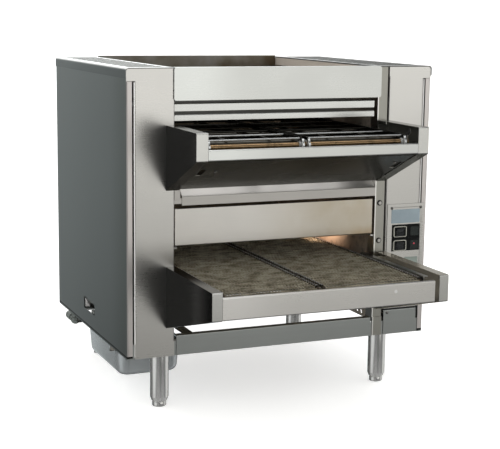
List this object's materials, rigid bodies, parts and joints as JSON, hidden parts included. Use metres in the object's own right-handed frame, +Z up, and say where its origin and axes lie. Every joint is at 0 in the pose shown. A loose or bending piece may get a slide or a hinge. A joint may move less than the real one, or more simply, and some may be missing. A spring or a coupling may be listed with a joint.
{
  "type": "conveyor broiler",
  "caption": "Steel countertop conveyor broiler on adjustable legs, with a chain infeed above, a wire belt discharge below, a side control panel and a grease pan.",
  "frame": {"origin": "on the floor under the middle of the part's outline", "axes": "+X to the right seen from the front, +Y to the rear, +Z up"},
  "size_m": [0.904, 1.047, 0.931],
  "materials": {
    "side_steel": "brushed, satin",
    "front_steel": "brushed, satin",
    "wing_steel": "brushed, satin",
    "hot_steel": "heat tinted",
    "frame_steel": "mill finish",
    "chain_steel": "seasoned",
    "shaft_steel": "ground, heat tinted",
    "sprocket_steel": "machined",
    "bronze": "sintered",
    "motor_paint": "satin",
    "burner_steel": "heat tinted",
    "gas_pipe": "dull",
    "fascia_black": "fine grain",
    "rocker_black": "gloss",
    "window_smoke": "gloss",
    "leg_steel": "satin",
    "pan_steel": "drawn, satin",
    "bolt_steel": "bright"
  },
  "bodies": {
    "cabinet": {"base_frame": "side_steel", "left_side_panel": "side_steel", "right_side_panel": "side_steel", "rear_panel": "wing_steel", "left_column_cover": "front_steel", "right_column_cover": "front_steel", "left_top_cover": "front_steel", "right_top_cover": "front_steel", "front_hood": "front_steel", "louvre_strips": "front_steel", "drive_side_post": "front_steel", "opening_rail": "front_steel", "lower_front_panel": "front_steel", "service_box_cover": "front_steel", "left_firebox_wall": "hot_steel", "right_firebox_wall": "hot_steel", "feeder_left_wing": "wing_steel", "feeder_right_wing": "wing_steel", "feeder_front_rail": "front_steel", "feeder_underside": "wing_steel", "upper_conveyor_frame": "frame_steel", "upper_left_flights": "chain_steel", "upper_right_flights": "chain_steel", "discharge_left_wing": "wing_steel", "discharge_right_wing": "wing_steel", "discharge_front_rail": "front_steel", "lower_conveyor_frame": "frame_steel", "lower_left_belt": "chain_steel", "lower_right_belt": "chain_steel", "shaft_bearings": "bronze", "upper_gear_motor": "motor_paint", "lower_gear_motor": "motor_paint", "radiant_burners": "burner_steel", "tube_burners": "burner_steel", "gas_manifold": "gas_pipe", "drip_tray": "hot_steel", "discharge_chute": "hot_steel", "control_plate": "front_steel", "control_fascia": "fascia_black", "display_windows": "window_smoke", "legs": "leg_steel", "pan_runners": "frame_steel", "cable_gland": "fascia_black", "fasteners": "bolt_steel"},
    "upper_drive": {"upper_drive_shaft": "shaft_steel", "upper_drive_sprockets": "sprocket_steel"},
    "upper_front_roller": {"upper_front_shaft": "shaft_steel", "upper_front_sprockets": "sprocket_steel"},
    "lower_drive": {"lower_drive_shaft": "shaft_steel", "lower_drive_sprockets": "sprocket_steel"},
    "lower_front_roller": {"lower_front_shaft": "shaft_steel", "lower_front_sprockets": "sprocket_steel"},
    "upper_rocker": {"upper_rocker": "rocker_black"},
    "lower_rocker": {"lower_rocker": "rocker_black"},
    "flame_shield": {"flame_shield": "front_steel"},
    "grease_pan": {"grease_pan": "pan_steel"},
    "foot_front_left": {"foot_front_left": "leg_steel"},
    "foot_front_right": {"foot_front_right": "leg_steel"},
    "foot_rear_left": {"foot_rear_left": "leg_steel"},
    "foot_rear_right": {"foot_rear_right": "leg_steel"}
  },
  "joints": [
    {"name": "upper_drive_spin", "type": "hinge", "parent": "cabinet", "child": "upper_drive", "pos_m": [0, 0.38917, 0.73741], "axis": [-1, 0, 0], "continuous": true},
    {"name": "upper_front_spin", "type": "hinge", "parent": "cabinet", "child": "upper_front_roller", "pos_m": [0, -0.3715, 0.73741], "axis": [-1, 0, 0], "continuous": true},
    {"name": "lower_drive_spin", "type": "hinge", "parent": "cabinet", "child": "lower_drive", "pos_m": [0, 0.44764, 0.36446], "axis": [1, 0, 0], "continuous": true},
    {"name": "lower_front_spin", "type": "hinge", "parent": "cabinet", "child": "lower_front_roller", "pos_m": [0, -0.4785, 0.36446], "axis": [1, 0, 0], "continuous": true},
    {"name": "upper_rocker_press", "type": "hinge", "parent": "cabinet", "child": "upper_rocker", "pos_m": [0.36455, -0.1875, 0.4565], "axis": [-1, 0, 0], "range_deg": [0, 16]},
    {"name": "lower_rocker_press", "type": "hinge", "parent": "cabinet", "child": "lower_rocker", "pos_m": [0.36455, -0.1875, 0.4165], "axis": [-1, 0, 0], "range_deg": [0, 16]},
    {"name": "flame_shield_lift", "type": "slide", "parent": "cabinet", "child": "flame_shield", "axis": [0, 0, 1], "range_m": [0, 0.025]},
    {"name": "grease_pan_slide", "type": "slide", "parent": "cabinet", "child": "grease_pan", "axis": [-1, 0, 0], "range_m": [0, 0.2]},
    {"name": "foot_front_left_level", "type": "slide", "parent": "cabinet", "child": "foot_front_left", "axis": [0, 0, -1], "range_m": [0, 0.025]},
    {"name": "foot_front_right_level", "type": "slide", "parent": "cabinet", "child": "foot_front_right", "axis": [0, 0, -1], "range_m": [0, 0.025]},
    {"name": "foot_rear_left_level", "type": "slide", "parent": "cabinet", "child": "foot_rear_left", "axis": [0, 0, -1], "range_m": [0, 0.025]},
    {"name": "foot_rear_right_level", "type": "slide", "parent": "cabinet", "child": "foot_rear_right", "axis": [0, 0, -1], "range_m": [0, 0.025]}
  ],
  "couplings": [
    {"joint": "upper_front_spin", "follows": "upper_drive_spin", "ratio": 1},
    {"joint": "lower_front_spin", "follows": "lower_drive_spin", "ratio": 1}
  ]
}
